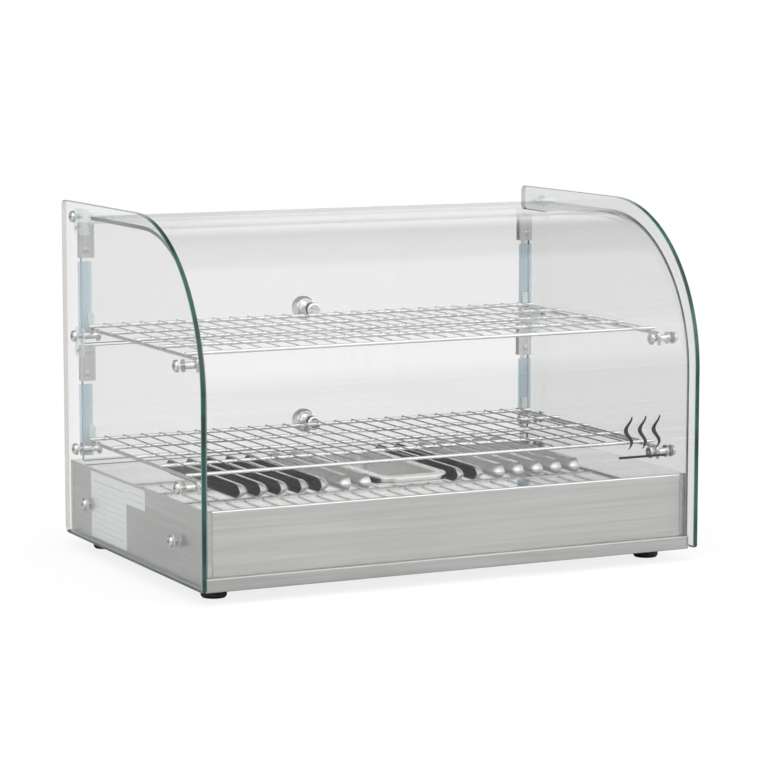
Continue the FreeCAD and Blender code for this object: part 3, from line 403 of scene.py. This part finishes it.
def dress_stickers():
    """Bars as shares of the sticker: left, right, bottom, top."""
    borders = [(0.06, 0.94, 0.86, 0.875), (0.06, 0.94, 0.12, 0.13)]
    rules = [(0.06, 0.94, 0.22 + 0.09 * step, 0.226 + 0.09 * step) for step in range(7)]
    divider = [(0.62, 0.628, 0.12, 0.86)]
    two_lines = [(0.08, 0.92, 0.30, 0.34), (0.08, 0.92, 0.62, 0.66)]
    for name, film, bars in (("rating_plate", "rating_film", borders + rules + divider),
                             ("small_label", "label_film", two_lines)):
        low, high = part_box(name)
        dress(blank_film(film, low, high, bars), name)


# -------------------------------------------------------------- stage and camera

def add_mark():
    """A plain printed mark on the bent glass: three rising waves over a rule."""
    film = 0.08 * MM
    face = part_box("front_curved_glass")[0][1] - film
    points = []
    faces = []

    def ribbon(spine):
        start = len(points)
        for across, up, half in spine:
            points.append(((across - half) * MM, face, up * MM))
            points.append(((across + half) * MM, face, up * MM))
        for step in range(len(spine) - 1):
            corner = start + step * 2
            faces.append((corner, corner + 1, corner + 3, corner + 2))

    centre, spacing = 208.0, 16.0
    sway, foot, tall = 3.4, 118.0, 33.0
    tip, swell = 0.6, 1.8
    turns = [step / 24 for step in range(25)]
    for middle in (centre - spacing, centre, centre + spacing):
        ribbon([(middle + sway * math.sin(8.0 * turn), foot + tall * turn,
                 tip + swell * math.sin(math.pi * turn)) for turn in turns])
    ribbon([(centre, 109.0, 27.0), (centre, 111.4, 27.0)])
    mesh = bpy.data.meshes.new("front_mark")
    mesh.from_pydata(points, [], faces)
    mark = bpy.data.objects.new("front_mark", mesh)
    bpy.context.scene.collection.objects.link(mark)
    mesh.materials.append(moulded("print_ink", (0.02, 0.02, 0.022, 1), 0.45, 1500.0, 0.01))
    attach(mark, "case")


def add_floor():
    """White to the eye, with a faint shadow at the feet; as light, an ordinary pale floor."""
    white_share, white_level = 0.75, 1.10
    bpy.ops.mesh.primitive_plane_add(size=24, location=(0, 0, 0))
    floor = bpy.context.object
    floor.name = "floor"
    s = Shader("floor_mat")
    tone = s.noise(2.0, detail=2.0)
    colour = s.blend(tone, grey(0.64), grey(0.66))
    seen = s.node("ShaderNodeLightPath").outputs["Is Camera Ray"]
    glow = s.node("ShaderNodeEmission")
    glow.inputs["Strength"].default_value = white_level
    both = s.mix(s.math("MULTIPLY", seen, white_share), s.principled(colour, 0.8), glow.outputs[0])
    floor.data.materials.append(s.finish(both))


def add_area(name, place, aim, size, power):
    light = bpy.data.lights.new(name, "AREA")
    light.shape = "RECTANGLE"
    light.size, light.size_y = size
    light.energy = power
    lamp = bpy.data.objects.new(name, light)
    lamp.location = place
    lamp.rotation_euler = (Vector(aim) - Vector(place)).to_track_quat("-Z", "Y").to_euler()
    bpy.context.scene.collection.objects.link(lamp)


def add_world():
    """White to the eye; as light, a studio with a soft box high in front and a bright wall on the right."""
    world = bpy.data.worlds.new("studio")
    bpy.context.scene.world = world
    world.use_nodes = True
    tree = world.node_tree
    tree.nodes.clear()
    split = tree.nodes.new("ShaderNodeSeparateXYZ")
    tree.links.new(tree.nodes.new("ShaderNodeTexCoord").outputs["Generated"], split.inputs[0])

    def ramp(axis, start, end):
        made = tree.nodes.new("ShaderNodeMapRange")
        made.interpolation_type = "SMOOTHSTEP"
        tree.links.new(split.outputs["XYZ".index(axis)], made.inputs["Value"])
        for name, value in (("From Min", start), ("From Max", end)):
            made.inputs[name].default_value = value
        return made.outputs[0]

    def both(operation, first, second):
        made = tree.nodes.new("ShaderNodeMath")
        made.operation = operation
        for socket, item in zip(made.inputs, (first, second)):
            if isinstance(item, bpy.types.NodeSocket):
                tree.links.new(item, socket)
            else:
                socket.default_value = item
        return made.outputs[0]

    level = 0.42
    right_wall = (1.05, (("X", 0.22, 0.42), ("Z", 0.62, 0.40)))
    high_front = (1.30, (("Y", 0.22, 0.02), ("Z", 0.02, 0.22)))
    left_wall = (0.40, (("X", -0.50, -0.75), ("Z", 0.75, 0.45)))
    rear_wall = (0.12, (("Y", 0.0, 0.6), ("Z", 0.75, 0.45)))
    for gain, ramps in (right_wall, high_front, left_wall, rear_wall):
        part = gain
        for axis, start, end in ramps:
            part = both("MULTIPLY", ramp(axis, start, end), part)
        level = both("ADD", part, level)
    out = tree.nodes.new("ShaderNodeOutputWorld")
    lit = tree.nodes.new("ShaderNodeBackground")
    tree.links.new(level, lit.inputs["Strength"])
    seen = tree.nodes.new("ShaderNodeBackground")
    seen.inputs["Color"].default_value = (1, 1, 1, 1)
    mix = tree.nodes.new("ShaderNodeMixShader")
    tree.links.new(tree.nodes.new("ShaderNodeLightPath").outputs["Is Camera Ray"], mix.inputs[0])
    tree.links.new(lit.outputs[0], mix.inputs[1])
    tree.links.new(seen.outputs[0], mix.inputs[2])
    tree.links.new(mix.outputs[0], out.inputs["Surface"])


def add_camera():
    """A long lens from the front left, a little above the shelves."""
    data = bpy.data.cameras.new("camera")
    data.sensor_width = 36
    data.lens = 139.72
    data.clip_end = 60
    camera = bpy.data.objects.new("camera", data)
    camera.location = (-1.3376, -2.7477, 0.5707)
    down, roll, turn = 7.53, 0.07, 26.28
    camera.rotation_euler = (math.radians(90 - down), math.radians(-roll), math.radians(-turn))
    bpy.context.scene.collection.objects.link(camera)
    bpy.context.scene.camera = camera


dress_metal()
dress_glass()
dress_plastic()
dress_stickers()
add_mark()
add_floor()
add_world()
add_area("overhead", place=(-0.7, -0.9, 1.8), aim=(0, 0, 0.1), size=(1.6, 1.2), power=10)
add_camera()
bpy.context.scene.view_settings.view_transform = "Standard"
bpy.context.scene.cycles.transparent_max_bounces = 32
